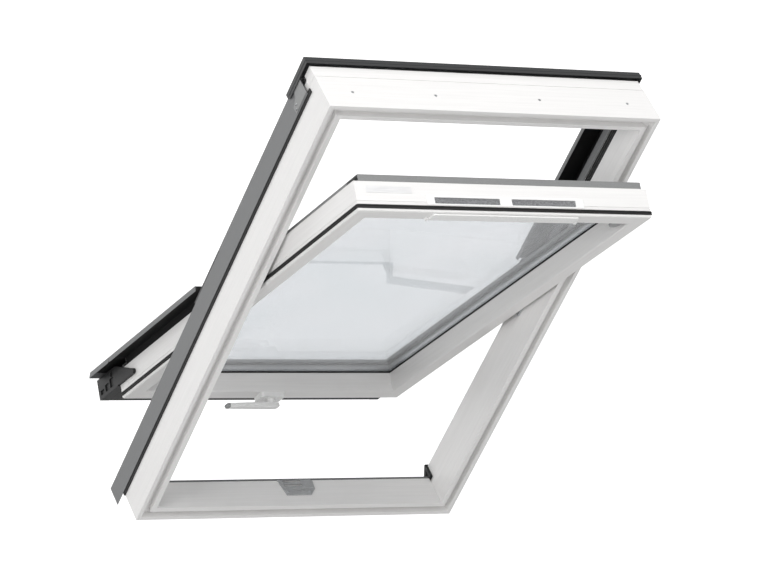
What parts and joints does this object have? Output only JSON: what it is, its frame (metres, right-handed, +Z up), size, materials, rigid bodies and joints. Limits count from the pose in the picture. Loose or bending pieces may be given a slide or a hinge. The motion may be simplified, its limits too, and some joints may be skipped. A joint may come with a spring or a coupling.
{
  "type": "centre-pivot roof window",
  "caption": "Centre-pivot roof window: white timber frame and glazed sash with grey metal cladding, bottom handle, vent flap and side bolt.",
  "frame": {"origin": "centre of the outer end face of the sill, the frame's lower end on a 45 degree roof", "axes": "+X across the window to the right as seen from the room, +Y outwards from the room, +Z up; the roof rises towards -Y"},
  "size_m": [0.7976, 1.1335, 0.9348],
  "materials": {
    "white_timber": "white lacquered pine",
    "white_plastic": "white moulded plastic",
    "glass": "clear float glass",
    "spacer_aluminium": "bright roll-formed",
    "black_rubber": "matt extruded rubber",
    "dark_aluminium": "dark grey coil-coated aluminium",
    "grey_aluminium": "grey coil-coated aluminium",
    "black_plastic": "black moulded plastic",
    "label_foil": "satin foil, bare",
    "zinc_steel": "zinc-plated"
  },
  "bodies": {
    "frame": {"frame_top_rail": "white_timber", "frame_sill": "white_timber", "frame_jamb_left": "white_timber", "frame_jamb_right": "white_timber", "frame_seal": "black_rubber", "sill_cladding": "grey_aluminium", "head_cladding": "grey_aluminium", "reveal_cladding_left": "grey_aluminium", "reveal_cladding_right": "grey_aluminium", "sill_plug_left": "black_plastic", "sill_plug_right": "black_plastic", "side_seal_left": "black_rubber", "side_seal_right": "black_rubber", "side_cladding_left": "grey_aluminium", "side_cladding_right": "grey_aluminium", "cladding_bracket_left": "grey_aluminium", "cladding_bracket_right": "grey_aluminium", "frame_screws": "zinc_steel", "hood": "dark_aluminium", "upper_cover_left": "grey_aluminium", "upper_cover_right": "grey_aluminium", "hinge_cover_left": "grey_aluminium", "hinge_cover_right": "grey_aluminium", "head_screws": "zinc_steel", "frame_hinge_left": "zinc_steel", "frame_hinge_right": "zinc_steel", "striker_plate": "zinc_steel", "bolt_bush": "black_plastic"},
    "sash": {"sash_top_rail": "white_timber", "sash_bottom_rail": "white_timber", "sash_stile_left": "white_timber", "sash_stile_right": "white_timber", "sash_seal": "black_rubber", "inner_pane": "glass", "outer_pane": "glass", "pane_spacer": "spacer_aluminium", "glazing_seal": "black_rubber", "glass_outer_seal": "black_rubber", "glass_trim_top": "grey_aluminium", "glass_trim_bottom": "grey_aluminium", "glass_trim_left": "grey_aluminium", "glass_trim_right": "grey_aluminium", "lower_cover_left": "grey_aluminium", "lower_cover_right": "grey_aluminium", "bottom_cover": "grey_aluminium", "bottom_profile": "black_plastic", "end_cap_left": "black_plastic", "end_cap_right": "black_plastic", "sash_hinge_left": "zinc_steel", "sash_hinge_right": "zinc_steel", "sash_hinge_screws": "zinc_steel", "vent_housing": "white_plastic", "vent_filters": "black_plastic", "label_plate": "label_foil", "flap_brackets": "white_plastic", "handle_base": "white_plastic"},
    "handle": {"handle_lever": "white_plastic"},
    "latch": {"latch_bolt": "zinc_steel"},
    "side_bolt": {"barrel_bolt": "black_plastic"},
    "flap": {"vent_flap": "white_plastic"}
  },
  "joints": [
    {"name": "sash_pivot", "type": "hinge", "parent": "frame", "child": "sash", "pos_m": [0, -0.36275, 0.47023], "axis": [1, 0, 0], "range_deg": [-25, 117]},
    {"name": "handle_turn", "type": "hinge", "parent": "sash", "child": "handle", "pos_m": [0.005, 0.10024, 0.2219], "axis": [0, 0.342, 0.9397], "range_deg": [0, 90]},
    {"name": "latch_slide", "type": "slide", "parent": "sash", "child": "latch", "axis": [0, 0.9397, -0.342], "range_m": [0, 0.014]},
    {"name": "side_bolt_slide", "type": "slide", "parent": "sash", "child": "side_bolt", "axis": [1, 0, 0], "range_m": [0, 0.012]},
    {"name": "flap_hinge", "type": "hinge", "parent": "sash", "child": "flap", "pos_m": [0, -0.86414, 0.58993], "axis": [1, 0, 0], "range_deg": [0, 40]}
  ],
  "couplings": [
    {"joint": "latch_slide", "follows": "handle_turn", "m_per_rad": 0.008912}
  ]
}
